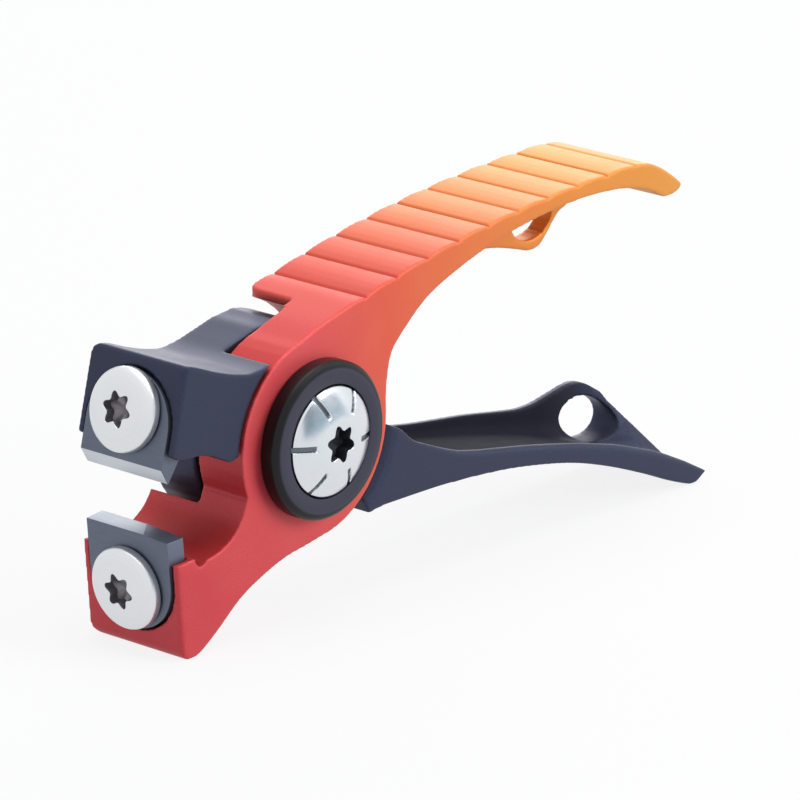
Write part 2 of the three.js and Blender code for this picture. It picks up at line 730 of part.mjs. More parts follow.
// The cap seats on the ring's floor; its grooves follow the dome down to its rim
function pivotCap() {
  const top = capRimHeight + capDomeHeight;
  const floor = roundHead(capRadius, capFlatRadius, capRimHeight, capDomeHeight, capGrooveDepth);
  const grooves = Array.from({ length: capGrooveCount }, (_, i) => radialBox(
    capGrooveAngle + i * 360 / capGrooveCount, capGrooveStart, capRadius + overrun,
    capRimHeight - capGrooveDepth, top + overrun, capGrooveWidth).subtract(floor));
  const head = roundHead(capRadius, capFlatRadius, capRimHeight, capDomeHeight);
  return cutAll(head, [...grooves, star(capStarRadius, starDepth, top, capStarAngle)]);
}

function pivotScrew() {
  const shank = disc(screwShankRadius, -(capSeat + half - ringFloor), capRimHeight / 3);
  return pivotCap().add(shank).rotate([180, 0, 0]).translate([0, -capSeat, 0]);
}

function pivotBarrel() {
  const sleeve = tube(holeRadius, barrelRadius, -half, capSeat);
  const plug = disc(barrelRadius, half, capSeat + capRimHeight / 3);
  return pivotCap().translate([0, capSeat, 0]).add(sleeve).add(plug);
}

function cupRing(side) {
  const inner = capRadius + ringGroove;
  const profile = [[barrelRadius + runningGap, half], [ringFootRadius, half],
    ...dome(ringFootRadius, ringFaceRadius, half + ringShoulder, ringHeight - ringShoulder),
    [inner, half + ringHeight], [inner, capSeat], [barrelRadius + runningGap, capSeat],
    [barrelRadius + runningGap, half]];
  return turned(profile.map(([radius, y]) => [radius, side * y]));
}

function bush(side) {
  const inner = barrelRadius + runningGap;
  const profile = [[inner, pocketDepth], [bushRadius, pocketDepth], [bushRadius, half - bushFlangeThickness],
    [bushFlangeRadius, half - bushFlangeThickness], [bushFlangeRadius, half], [inner, half],
    [inner, pocketDepth]];
  return turned(profile.map(([radius, y]) => [radius, side * y]));
}

function thrustWasher() {
  const pin = onCircle(stopPinOrbit, stopPinAngle);
  return tube(washerInnerRadius, washerOuterRadius, -lap, lap)
    .subtract(roundRod(washerHoleRadius, pin.x, pin.y, -half, half));
}

function stopPin() {
  const pin = onCircle(stopPinOrbit, stopPinAngle);
  return roundRod(stopPinRadius, pin.x, pin.y, -lap - stopPinDepth, lap + stopPinReach);
}

// A torsion spring round the barrel, with one leg in each hub
function returnSpring() {
  const place = (radius, angle, y) => {
    const point = onCircle(radius, angle);
    return new THREE.Vector3(point.x, y, point.y);
  };
  const points = [place(springRadius + springLeg, springAngle, -springHeight / 2)];
  const turns = Math.round(springTurns * springPoints);
  for (let i = 0; i <= turns; i += 1) {
    points.push(place(springRadius, springAngle + 360 * springTurns * i / turns,
      springHeight * (i / turns - 1 / 2)));
  }
  points.push(place(springRadius + springLeg, springAngle + 360 * springTurns, springHeight / 2));
  const section = new THREE.Shape(Array.from({ length: wireSides }, (_, i) => onCircle(
    wireRadius, i * 360 / wireSides)));
  const path = new THREE.CatmullRomCurve3(points, false, 'centripetal');
  return toSolid(new THREE.ExtrudeGeometry(section, { steps: springSteps, extrudePath: path }));
}

// Finishes
function finish(color, roughness, metalness) {
  return new THREE.MeshStandardMaterial({ color, roughness, metalness });
}

const redAnodised = finish(0xe4604f, 0.45, 0.3);
const blackAnodised = finish(0x2c2e38, 0.4, 0.3);
const blackSteel = finish(0x33353c, 0.35, 0.7);
const brightSteel = finish(0xd5d7da, 0.25, 0.9);
const bronze = finish(0xa9814a, 0.4, 0.8);

const ribbed = new THREE.Group();
ribbed.rotation.y = -rad(ribbedTilt);
ribbed.add(
  toMesh('ribbed_lever', ribbedLever(), redAnodised),
  toMesh('anvil_plate', anvilPlate(), blackSteel),
  toMesh('anvil_screw', plateScrew(-anvilScrewDrop), brightSteel),
  toMesh('near_ring', cupRing(-1), blackSteel),
  toMesh('pivot_screw', pivotScrew(), brightSteel),
  toMesh('pivot_barrel', pivotBarrel(), brightSteel),
  toMesh('near_bush', bush(-1), bronze),
  toMesh('thrust_washer', thrustWasher(), bronze),
  toMesh('stop_pin', stopPin(), brightSteel),
  toMesh('return_spring', returnSpring(), brightSteel),
);

const plain = new THREE.Group();
plain.rotation.y = -rad(plainTilt);
plain.add(
  toMesh('plain_lever', plainLever(), blackAnodised),
  toMesh('cutter_plate', cutterPlate(), blackSteel),
  toMesh('cutter_screw', plateScrew(cutterScrewRise), brightSteel),
  toMesh('far_ring', cupRing(1), blackSteel),
  toMesh('far_bush', bush(1), bronze),
);

// The nipper stands on its lower jaw and the end of its lower handle
const nipper = new THREE.Group();
nipper.add(ribbed, plain);
nipper.updateMatrixWorld(true);
const extent = new THREE.Box3().setFromObject(nipper, true);
const middle = extent.getCenter(new THREE.Vector3());
nipper.position.set(-middle.x, -middle.y, -extent.min.z);
nipper.updateMatrixWorld(true);

export default nipper;
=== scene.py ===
# %% [markdown]
# # A hand nipper with a red and a black lever
#
# The tool is two flat levers on one big pivot. The ribbed lever is anodised aluminium that fades from
# red at its jaw to amber at its tip, and the plain lever is black. Each jaw holds a steel plate under
# one round-headed screw, and a dark cup ring frames the polished cap of the pivot on each side.
#
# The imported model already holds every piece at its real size. This script only dresses it: it gives
# each piece softer edges and a finish, and adds a camera, a floor and soft light.

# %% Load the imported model
import math

import bmesh
import bpy
from mathutils import Matrix, Vector


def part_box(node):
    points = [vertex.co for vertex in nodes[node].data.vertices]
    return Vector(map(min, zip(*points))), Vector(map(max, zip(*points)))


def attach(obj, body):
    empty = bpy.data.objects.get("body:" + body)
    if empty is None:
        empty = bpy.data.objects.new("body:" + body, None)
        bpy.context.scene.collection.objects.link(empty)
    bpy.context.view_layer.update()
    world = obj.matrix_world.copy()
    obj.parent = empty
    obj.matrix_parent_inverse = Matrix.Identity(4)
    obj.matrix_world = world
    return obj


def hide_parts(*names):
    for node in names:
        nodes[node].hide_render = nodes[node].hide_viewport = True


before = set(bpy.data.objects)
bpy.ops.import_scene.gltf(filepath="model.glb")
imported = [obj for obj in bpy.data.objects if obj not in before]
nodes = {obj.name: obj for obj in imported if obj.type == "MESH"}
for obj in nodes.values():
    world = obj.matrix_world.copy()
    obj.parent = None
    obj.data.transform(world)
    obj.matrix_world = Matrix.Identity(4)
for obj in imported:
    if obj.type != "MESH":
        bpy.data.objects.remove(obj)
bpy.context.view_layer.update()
print("packed pieces:", len(nodes))

# %% [markdown]
# ## Where things are
#
# Nothing is placed by eye. A cup ring is a round piece on the pivot's axis, so the middle of its box
# is the pivot. The two levers lean by different angles about that axis, and most shapes are simplest
# to describe along a lever, so two small helpers turn a point of the scene into a lever's own frame.

# %% The pivot and the two levers
MM = 0.001
RIBBED_TILT = math.radians(6.28)
PLAIN_TILT = math.radians(-12.88)


def middle(node):
    low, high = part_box(node)
    return (low + high) / 2


pivot = Vector((middle("near_ring").x, 0, middle("near_ring").z))


def along_lever(point, tilt):
    """The point's distance along a lever, across it and above it, from the pivot."""
    reach = point - pivot
    return Vector((
        reach.x * math.cos(tilt) + reach.z * math.sin(tilt),
        reach.y,
        reach.z * math.cos(tilt) - reach.x * math.sin(tilt),
    ))


def off_lever(reach, tilt):
    """The scene's place of a point that is given in a lever's own frame."""
    return pivot + Vector((
        reach[0] * math.cos(tilt) - reach[2] * math.sin(tilt),
        reach[1],
        reach[0] * math.sin(tilt) + reach[2] * math.cos(tilt),
    ))


def lever_box(node, tilt):
    """A node's lowest and highest corners along a lever's own axes."""
    places = [along_lever(vertex.co, tilt) for vertex in nodes[node].data.vertices]
    low = Vector([min(place[i] for place in places) for i in range(3)])
    high = Vector([max(place[i] for place in places) for i in range(3)])
    return low, high


print("pivot in mm:", [round(x / MM, 3) for x in pivot])

# %% [markdown]
# ## The camera
#
# The photograph looks at the jaw end from the left and a little above, through a long lens. The
# angles below are the photograph's. There the tool leans back by a degree and a half from how it
# stands on a table, so the camera leans by as much.

# %% The camera
SENSOR = 36
LENS = 283.86
VIEW_AZIMUTH = math.radians(-48.52)
VIEW_ELEVATION = math.radians(18.21)
VIEW_LEAN = math.radians(1.45)
VIEW_DISTANCE = 496.48 * MM
AIM_RIGHT = 10.32 * MM
AIM_UP = 1.89 * MM

camera_data = bpy.data.cameras.new("camera")
camera_data.sensor_width = SENSOR
camera_data.lens = LENS
camera_data.clip_start = VIEW_DISTANCE / 10
camera_data.clip_end = VIEW_DISTANCE * 10
camera = bpy.data.objects.new("camera", camera_data)
bpy.context.scene.collection.objects.link(camera)
bpy.context.scene.camera = camera

level_turn = (Matrix.Rotation(VIEW_AZIMUTH, 4, "Z")
              @ Matrix.Rotation(math.pi / 2 - VIEW_ELEVATION, 4, "X"))
lean = Matrix.Rotation(-VIEW_LEAN, 4, "Y")
shift = Matrix.Translation((AIM_RIGHT, AIM_UP, VIEW_DISTANCE))
camera.matrix_world = Matrix.Translation(pivot) @ lean @ level_turn @ shift
print("camera at, in mm:", [round(x / MM, 1) for x in camera.matrix_world.translation])

# %% [markdown]
# ## Writing node trees as sums
#
# A finish is a small drawing of nodes, and so is a form that follows a rule. Typed out node by node
# they are hard to read, so a few small classes let them be written as Python sums. A Wire is a
# socket: adding or multiplying wires adds the Math nodes that do it. A Drawing adds any other node
# with one method. A Finish is a drawing that ends in one shader, and a Form is one that ends in a
# mesh.

# %% Sums of sockets
class Wire:
    """A socket whose sums add Math nodes behind it."""

    def __init__(self, drawing, socket):
        self.drawing = drawing
        self.socket = socket

    def math(self, operation, *values):
        return self.drawing.node("ShaderNodeMath", {"operation": operation}, dict(enumerate(values)))

    def __add__(self, other):
        return self.math("ADD", self, other)

    def __radd__(self, other):
        return self.math("ADD", other, self)

    def __sub__(self, other):
        return self.math("SUBTRACT", self, other)

    def __rsub__(self, other):
        return self.math("SUBTRACT", other, self)

    def __mul__(self, other):
        return self.math("MULTIPLY", self, other)

    def __rmul__(self, other):
        return self.math("MULTIPLY", other, self)

    def __truediv__(self, other):
        return self.math("DIVIDE", self, other)

    def __rtruediv__(self, other):
        return self.math("DIVIDE", other, self)

    def __pow__(self, other):
        return self.math("POWER", self, other)

    def __abs__(self):
        return self.math("ABSOLUTE", self)

    def clamp(self, low, high):
        """0 under low, 1 over high, and even between."""
        return self.drawing.node("ShaderNodeMapRange", None,
                                 {"Value": self, "From Min": low, "From Max": high})


# %% Trees under construction
class Drawing:
    """A tree of nodes under construction."""

    def __init__(self, tree):
        self.tree = tree
        self.tree.nodes.clear()

    def node(self, kind, settings=None, sockets=None, out=0):
        """Adds a node, sets it, joins its sockets, and gives the outputs that out names."""
        made = self.tree.nodes.new(kind)
        for name, value in (settings or {}).items():
            if name == "stops":
                ramp = made.color_ramp
                while len(ramp.elements) < len(value):
                    ramp.elements.new(1)
                for element, (place, color) in zip(ramp.elements, value):
                    element.position = place
                    element.color = color
            else:
                setattr(made, name, value)
        for name, value in (sockets or {}).items():
            if isinstance(value, Wire):
                self.tree.links.new(value.socket, made.inputs[name])
            else:
                made.inputs[name].default_value = value
        if isinstance(out, tuple):
            return [Wire(self, made.outputs[name]) for name in out]
        return Wire(self, made.outputs[out])

    def span(self, value, low, high):
        """0 where the value is under low, 1 where it is over high, smooth between."""
        return self.node("ShaderNodeMapRange", {"interpolation_type": "SMOOTHSTEP"},
                         {"Value": value, "From Min": low, "From Max": high})

    def nearest(self, value, pitch, start=0):
        """The distance from the value to the nearest of even steps from start."""
        steps = (value - start) / pitch + 0.5
        return abs(steps - steps.math("FLOOR", steps) - 0.5) * pitch

    def seen_ray(self):
        """1 for a ray that the eye follows, straight or reflected, and 0 for one that lights."""
        camera_ray, glossy_ray, clear_ray = self.node(
            "ShaderNodeLightPath", out=("Is Camera Ray", "Is Glossy Ray", "Is Transmission Ray"))
        return camera_ray.math("MAXIMUM", camera_ray, glossy_ray.math("MAXIMUM", glossy_ray, clear_ray))


class Finish(Drawing):
    """A material under construction."""

    def __init__(self, name):
        self.material = bpy.data.materials.new(name)
        self.material.use_nodes = True
        super().__init__(self.material.node_tree)

    def place(self, tilt=0):
        """The point's distances from the pivot, along, across and above a lever, in millimetres."""
        here = self.node("ShaderNodeTexCoord", out="Object")
        steps = self.node("ShaderNodeVectorMath", {"operation": "SUBTRACT"}, {0: here, 1: pivot})
        lever = self.node("ShaderNodeVectorRotate", {"rotation_type": "Y_AXIS"},
                          {"Vector": steps, "Angle": tilt})
        scaled = self.node("ShaderNodeVectorMath", {"operation": "SCALE"}, {0: lever, "Scale": 1 / MM})
        return scaled, self.node("ShaderNodeSeparateXYZ", None, {0: scaled}, ("X", "Y", "Z"))

    def facing(self, direction):
        """How far the surface faces a direction, from -1 to 1."""
        normal = self.node("ShaderNodeNewGeometry", out="Normal")
        return self.node("ShaderNodeVectorMath", {"operation": "DOT_PRODUCT"},
                         {0: normal, 1: direction}, "Value")

    def ramp(self, factor, stops):
        return self.node("ShaderNodeValToRGB", {"stops": stops}, {0: factor})

    def mix(self, share, first, second):
        """One colour over another."""
        return self.node("ShaderNodeMix", {"data_type": "RGBA"}, {0: share, 6: first, 7: second}, 2)

    def noise(self, vector, scale, detail):
        return self.node("ShaderNodeTexNoise", None,
                         {"Vector": vector, "Scale": scale, "Detail": detail}, "Fac")

    def bump(self, height, distance, strength=1):
        return self.node("ShaderNodeBump", None,
                         {"Height": height, "Distance": distance, "Strength": strength}, "Normal")

    def close(self, **sockets):
        """Ends the drawing in one Principled shader; names in sockets use _ for a space."""
        names = {name.replace("_", " "): value for name, value in sockets.items()}
        shader = self.node("ShaderNodeBsdfPrincipled", None, names)
        self.node("ShaderNodeOutputMaterial", None, {"Surface": shader}, ())
        return self.material


# %% Shapes from trees
def plain_mesh(piece):
    """Turns a piece and its modifiers into one plain mesh."""
    bpy.context.view_layer.update()
    whole = piece.evaluated_get(bpy.context.evaluated_depsgraph_get())
    mesh = bpy.data.meshes.new_from_object(whole)
    piece.modifiers.clear()
    piece.data = mesh
    return mesh


class Form(Drawing):
    """A Geometry Nodes tree under construction, with a named input for each size."""

    def __init__(self, name, **sizes):
        self.group = bpy.data.node_groups.new(name, "GeometryNodeTree")
        super().__init__(self.group)
        self.group.interface.new_socket("Geometry", in_out="INPUT", socket_type="NodeSocketGeometry")
        self.group.interface.new_socket("Geometry", in_out="OUTPUT", socket_type="NodeSocketGeometry")
        self.values = dict(sizes)
        self.keys = {}
        for size_name in sizes:
            socket = self.group.interface.new_socket(size_name, in_out="INPUT",
                                                     socket_type="NodeSocketFloat")
            self.keys[size_name] = socket.identifier
        names = ("Geometry",) + tuple(sizes)
        self.geometry, *self.sizes = self.node("NodeGroupInput", out=names)

    def close(self, geometry, material):
        """Ends the tree in real geometry with its material."""
        real = self.node("GeometryNodeRealizeInstances", None, {0: geometry})
        dressed = self.node("GeometryNodeSetMaterial", None, {"Geometry": real, "Material": material})
        self.node("NodeGroupOutput", None, {"Geometry": dressed}, ())

    def grow(self, piece):
        """Runs the tree on a piece and keeps what it makes as the piece's plain mesh."""
        modifier = piece.modifiers.new(self.group.name, "NODES")
        modifier.node_group = self.group
        for size_name, value in self.values.items():
            modifier[self.keys[size_name]] = float(value)
        plain_mesh(piece)


# %% Colours
def srgb(red, green, blue):
    """A colour as it is read off a picture, made linear for a shader."""
    return tuple(((x / 255 + 0.055) / 1.055) ** 2.4 for x in (red, green, blue)) + (1,)


print("a mid red in linear light:", [round(x, 3) for x in srgb(220, 80, 80)])

# %% [markdown]
# ## Light, background and floor
#
# The tool was photographed on plain white. The world is white for the camera and in reflections, and
# lights the pieces at a lower strength, so that bare metal shows a bright room and colours stay as
# they are. Large soft lamps give the forms their shading. The one behind the tool is low, so satin
# tops seen at a flat angle shine in it, as they do in the photograph. The floor catches the shadow.

# %% The world
AMBIENT = 0.36
COOL = (0.88, 0.93, 1, 1)
WHITE = (1, 1, 1, 1)


def studio_world():
    """White to the eye and in reflections, and a dimmer cool white as a light."""
    world = bpy.data.worlds.new("studio")
    world.use_nodes = True
    sky = Drawing(world.node_tree)
    shown = sky.node("ShaderNodeBackground", None, {"Color": WHITE, "Strength": 1})
    lighting = sky.node("ShaderNodeBackground", None, {"Color": COOL, "Strength": AMBIENT})
    choice = sky.node("ShaderNodeMixShader", None, {0: sky.seen_ray(), 1: lighting, 2: shown})
    sky.node("ShaderNodeOutputWorld", None, {"Surface": choice}, ())
    return world


bpy.context.scene.world = studio_world()
print("world nodes:", len(bpy.context.scene.world.node_tree.nodes))

# %% The soft lamps
# each lamp's place and width in metres, and its power in watts
LAMPS = {
    "top_lamp": ((0.05, 0.0, 0.5), 0.4, 1.27),
    "near_lamp": ((0.25, -0.4, 0.22), 0.3, 1.62),
    "back_lamp": ((0.36, 0.34, 0.2), 0.3, 0.64),
}


def soft_lamp(name, place, width, power):
    """A square lamp that looks at the pivot."""
    lamp_data = bpy.data.lights.new(name, "AREA")
    lamp_data.size = width
    lamp_data.energy = power
    lamp = bpy.data.objects.new(name, lamp_data)
    bpy.context.scene.collection.objects.link(lamp)
    toward = pivot - Vector(place)
    turn = toward.to_track_quat("-Z", "Y").to_matrix().to_4x4()
    lamp.matrix_world = Matrix.Translation(Vector(place)) @ turn


for name, (place, width, power) in LAMPS.items():
    soft_lamp(name, place, width, power)
print("lamps:", list(LAMPS))

# %% [markdown]
# ## Red to amber anodising
#
# The dye bath fades along the lever: the jaw is red, the thumb pad turns orange and the tip is
# amber. The colour therefore follows the distance from the pivot along the lever. The blasted metal
# below the dye shows as a very fine grain, and the dye is a touch paler where the grain stands up.
# Painted shade darkens the fine lines cut across the pad, and deepens the red on upward faces near the
# jaw.

# %% The faded finish
RIB_START = 6.8
RIB_PITCH = 3.72
RIB_COUNT = 10
RIB_MIDDLE = RIB_START + RIB_PITCH * (RIB_COUNT - 1) / 2
RIB_HALF = RIB_PITCH * (RIB_COUNT - 0.5) / 2
RIBBED_UP = (-math.sin(RIBBED_TILT), 0, math.cos(RIBBED_TILT))
FADE_START = -18
FADE_LENGTH = 66
# where the painted shade on upward faces fades out, in mm along the lever
TOP_SHADE_REACH = (8, 26)
# the width of the painted shade along each rib line, in mm
RIB_SHADE_SPAN = (0.03, 0.22)
GRAIN_SCALE = 9
CLOUD_SCALE = 0.25
GRAIN_HEIGHT = 0.02 * MM
DYES = [
    (0.0, srgb(214, 58, 70)),
    (0.27, srgb(228, 76, 82)),
    (0.42, srgb(232, 92, 62)),
    (0.62, srgb(234, 128, 56)),
    (0.8, srgb(236, 146, 50)),
    (1.0, srgb(232, 158, 62)),
]


def anodised_fade():
    """Red to amber along the lever, with painted shade on upward faces near the jaw and in the fine
    lines.
    """
    finish = Finish("red_anodised")
    point, (along, _, _) = finish.place(RIBBED_TILT)
    dye = finish.ramp((along - FADE_START) / FADE_LENGTH, DYES)
    grain = finish.noise(point, GRAIN_SCALE, 3)
    cloud = finish.noise(point, CLOUD_SCALE, 2)
    pale = finish.mix((grain - 0.45) * 0.3 + (cloud - 0.5) * 0.12, dye, srgb(255, 196, 160))
    on_top = finish.span(finish.facing(RIBBED_UP), 0.55, 0.8)
    # painted shade: upward faces from the jaw to the front of the pad get a deeper red
    shaded_top = finish.mix(on_top * 0.5 * (1 - finish.span(along, *TOP_SHADE_REACH)), pale, srgb(206, 34, 16))
    on_ribs = 1 - finish.span(abs(along - RIB_MIDDLE), RIB_HALF, RIB_HALF + 0.1)
    # painted shade: a darker colour along each fine line across the pad's top
    line = 1 - finish.span(finish.nearest(along, RIB_PITCH, RIB_START), *RIB_SHADE_SPAN)
    line_shaded = finish.mix(line * on_top * on_ribs * 0.28, shaded_top, srgb(168, 52, 28))
    return finish.close(
        Base_Color=line_shaded,
        Metallic=0.3,
        Roughness=0.4 + 0.12 * cloud,
        Normal=finish.bump(grain, GRAIN_HEIGHT, 0.25),
    )


red_anodised = anodised_fade()
print(red_anodised.name, "nodes:", len(red_anodised.node_tree.nodes))

# %% [markdown]
# ## Black anodising and the ground steels
#
# The plain lever is anodised a bluish black and satin to the eye. Inside the scoop of its handle the
# blasting leaves it matt, so the finish there is rougher, and painted shade makes it darker, with soft
# borders. The plates are ground steel. They share one function, as they differ only in colour and in
# how fine the grinding is. The land's darker colour is painted shade.

# %% The dark finishes
PLAIN_UP = (-math.sin(PLAIN_TILT), 0, math.cos(PLAIN_TILT))
SCOOP_FRONT = (9.5, 13)
SCOOP_END = (38, 50)
SCOOP_NEAR_RIM = (-4.9, -3.8)
SCOOP_FAR_RIM = (4.3, 4.6)


def black_anodised_finish():
    """Satin outside, and matt in the scoop of the handle, with painted shade darkening the scoop."""
    finish = Finish("black_anodised")
    point, (along, across, _) = finish.place(PLAIN_TILT)
    grain = finish.noise(point, GRAIN_SCALE, 3)
    cloud = finish.noise(point, CLOUD_SCALE, 2)
    lengthways = finish.span(along, *SCOOP_FRONT) * (1 - finish.span(along, *SCOOP_END))
    widthways = finish.span(across, *SCOOP_NEAR_RIM) * (1 - finish.span(across, *SCOOP_FAR_RIM))
    upward = finish.span(finish.facing(PLAIN_UP), -0.5, -0.1)
    # the scoop mask makes the finish matt, and also paints shade into its colour
    scoop_matt_and_shade = lengthways * widthways * upward
    satin = finish.mix(grain, srgb(50, 54, 72), srgb(72, 76, 98))
    # painted shade: the scoop's darker colour
    scoop_shade_color = finish.mix(grain, srgb(25, 27, 38), srgb(36, 38, 52))
    return finish.close(
        Base_Color=finish.mix(scoop_matt_and_shade, satin, scoop_shade_color),
        Metallic=0.62 - 0.62 * scoop_matt_and_shade,
        Roughness=0.34 + 0.12 * cloud + 0.38 * scoop_matt_and_shade,
        Specular_IOR_Level=0.12,
        Normal=finish.bump(grain, GRAIN_HEIGHT, 0.25),
    )


def ground_steel(name, dark, light, roughness):
    """Steel ground along the plate's width, so its fine scratches run across the jaw."""
    finish = Finish(name)
    point, _ = finish.place()
    stretched = finish.node("ShaderNodeMapping", None, {"Vector": point, "Scale": (14, 0.6, 14)})
    scratches = finish.noise(stretched, 1, 4)
    cloud = finish.noise(point, 0.5, 2)
    return finish.close(
        Base_Color=finish.mix(scratches, dark, light),
        Metallic=0.75,
        Roughness=roughness + 0.15 * cloud,
        Normal=finish.bump(scratches, 0.01 * MM, 0.4),
    )


black_anodised = black_anodised_finish()
plate_steel = ground_steel("plate_steel", srgb(96, 102, 118), srgb(114, 120, 136), 0.4)
# painted shade: the land's ground steel is darker than the bevel's, against the back lamp's highlight
# on that upward face
shaded_land_steel = ground_steel("shaded_land_steel", srgb(160, 166, 177), srgb(188, 193, 202), 0.45)
edge_steel = ground_steel("edge_steel", srgb(198, 204, 212), srgb(222, 226, 232), 0.36)
print("steels:", plate_steel.name, shaded_land_steel.name, edge_steel.name)

# %% [markdown]
# ## Turned metal
#
# Screw heads, caps, rings and bushes come off a lathe. Their tool marks are circles round their own
# axis, so the marks are waves of the distance from that axis.

# %% The turned finishes
NEVER = 99


def turned_metal(name, color, shade, roughness, metallic, axis="Y", centre=(0, 0), tilt=0, mark=0.25,
                 shade_from=NEVER):
    """Fine circles round an axis, and near-black painted shade beyond a given radius, in millimetres.

    The axis is Y through the pivot, or X along a lever that is tilted, through centre."""
    finish = Finish(name)
    point, (along, across, above) = finish.place(tilt)
    first = (across if axis == "X" else along) - centre[0]
    second = above - centre[1]
    distance = (first * first + second * second) ** 0.5
    wave = finish.node("ShaderNodeTexNoise", {"noise_dimensions": "1D"},
                       {"W": distance, "Scale": 14, "Detail": 3})
    cloud = finish.noise(point, 0.8, 2)
    # painted shade: near black beyond the given radius
    outer_shade = finish.span(distance, shade_from - 0.15, shade_from + 0.1)
    return finish.close(
        Base_Color=finish.mix(outer_shade, finish.mix(wave, shade, color), srgb(15, 15, 19)),
        Metallic=metallic,
        Roughness=roughness + 0.12 * cloud,
        Normal=finish.bump(wave, 0.01 * MM, mark),
    )


cap_steel = turned_metal("cap_steel", srgb(228, 232, 236), srgb(214, 219, 224), 0.16, 0.95, mark=0.1)
# painted shade: a dark copy of the steel for the inside of the cap's recess
cap_recess_shade = turned_metal("cap_recess_shade", srgb(66, 70, 78), srgb(50, 54, 62), 0.42, 0.5)
groove_steel = turned_metal("groove_steel", srgb(120, 128, 134), srgb(100, 108, 114), 0.36, 0.8)
# painted shade: near black on the ring's outer wall and shoulder, beyond 5.9 mm
ring_steel = turned_metal("ring_steel", srgb(62, 64, 80), srgb(50, 51, 66), 0.34, 0.5, shade_from=5.9)
# painted shade: a darker copy of the steel for the inside of a screw's recess
recess_shade_steel = turned_metal("recess_shade_steel", srgb(150, 146, 150), srgb(124, 120, 124), 0.42, 0.75)
bush_bronze = turned_metal("bush_bronze", srgb(190, 146, 84), srgb(160, 118, 64), 0.35, 0.9)
pin_steel = turned_metal("pin_steel", srgb(190, 194, 200), srgb(160, 166, 172), 0.3, 0.95)
print("finishes so far:", len(bpy.data.materials))

# %% [markdown]
# ## Softened edges
#
# No edge on a real tool is sharp, and each edge catches a thin line of light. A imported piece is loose
# triangles with hard edges. A copy of it has its points welded and its flat triangles joined, and then
# a Bevel modifier rounds the edges that are marked with a weight. This suits the small flat pieces.

# %% A copy with softened edges
WELD = 0.002 * MM
FLAT = math.radians(0.6)
SHARP = math.radians(32)
SMOOTH = math.radians(24)
SOFT = 0.05 * MM
SOFT_STEPS = 3


def new_piece(name, work):
    """Turns a mesh under work into a piece of the scene."""
    mesh = bpy.data.meshes.new(name)
    work.to_mesh(mesh)
    work.free()
    piece = bpy.data.objects.new(name, mesh)
    bpy.context.scene.collection.objects.link(piece)
    return piece


def welded(node):
    """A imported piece's triangles with their points joined."""
    work = bmesh.new()
    work.from_mesh(nodes[node].data)
    bmesh.ops.remove_doubles(work, verts=work.verts, dist=WELD)
    return work


def softened(node):
    """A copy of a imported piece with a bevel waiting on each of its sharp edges."""
    work = welded(node)
    bmesh.ops.dissolve_limit(work, angle_limit=FLAT, verts=work.verts, edges=work.edges,
                             use_dissolve_boundaries=False)
    layer = work.edges.layers.float.new("bevel_weight_edge")
    for edge in work.edges:
        edge[layer] = int(len(edge.link_faces) == 2 and edge.calc_face_angle(0) > SHARP)
    piece = new_piece(node + "_finished", work)
    bevel = piece.modifiers.new("soft_edges", "BEVEL")
    bevel.limit_method = "WEIGHT"
    bevel.width = SOFT
    bevel.segments = SOFT_STEPS
    bevel.use_clamp_overlap = False
    bevel.loop_slide = True
    return piece


# %% Settling and dressing a piece
def settle(piece):
    """Applies a piece's modifiers and shades it smooth up to its creases."""
    mesh = plain_mesh(piece)
    mesh.shade_smooth()
    mesh.set_sharp_from_angle(angle=SMOOTH)
    return piece


def dress(piece, node, body, slot, *materials):
    """The piece stands for its node, on that body, with those materials."""
    if piece.data.materials:
        piece.data.materials.clear()
    for material in materials:
        piece.data.materials.append(material)
    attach(piece, body)
    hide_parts(node)
    piece.data.calc_loop_triangles()
    print(piece.name, len(piece.data.loop_triangles), "triangles")


# %% [markdown]
# ## The two levers
#
# The levers are milled and then tumbled and blasted, which wears their edges round, more at a corner
# than along a flat. A Bevel modifier can't follow their curved and crossing edges. So a copy is
# remeshed as even small squares, smoothed a few times as the tumbling does, and then a Decimate
# modifier joins what is flat again. The fine lines across the pad close up under the smoothing, so
# they are pressed in once more.

# %% The two levers
VOXEL = 0.13
WEAR = 0.5
WEAR_ROUNDS = 6
TRIANGLES = 170000


def tumbled(node):
    """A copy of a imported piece, in millimetres, with its edges worn round."""
    work = welded(node)
    bmesh.ops.scale(work, vec=Vector((1, 1, 1)) / MM, verts=work.verts)
    piece = new_piece(node + "_finished", work)
    even = piece.modifiers.new("even_squares", "REMESH")
    even.mode = "VOXEL"
    even.voxel_size = VOXEL
    wear = piece.modifiers.new("wear", "SMOOTH")
    wear.factor = WEAR
    wear.iterations = WEAR_ROUNDS
    plain_mesh(piece)
    return piece


def lightened(piece):
    """Joins the small triangles of flat places, shades the piece smooth and brings it to metres."""
    piece.data.calc_loop_triangles()
    count = len(piece.data.loop_triangles)
    fewer = piece.modifiers.new("fewer", "DECIMATE")
    fewer.ratio = min(1, TRIANGLES / count)
    settle(piece)
    piece.data.transform(Matrix.Scale(MM, 4))
    print(piece.name, "had", count, "triangles")
    return piece


# %% The lines across the pad
RIB_DIP = 0.05
RIB_WIDTH = 0.14
RIB_REACH = 3
PAD_FACING = 0.5


def cut_ribs(piece):
    """Presses a fine line into the pad's top at each rib."""
    up = Vector(RIBBED_UP)
    pressed = 0
    for vertex in piece.data.vertices:
        along = along_lever(vertex.co * MM, RIBBED_TILT).x / MM
        step = round((along - RIB_START) / RIB_PITCH)
        if not 0 <= step < RIB_COUNT or vertex.normal.dot(up) < PAD_FACING:
            continue
        off = (along - RIB_START - step * RIB_PITCH) / RIB_WIDTH
        if abs(off) < RIB_REACH:
            vertex.co -= up * RIB_DIP * math.exp(-off * off)
            pressed += 1
    print("points pressed into rib lines:", pressed)


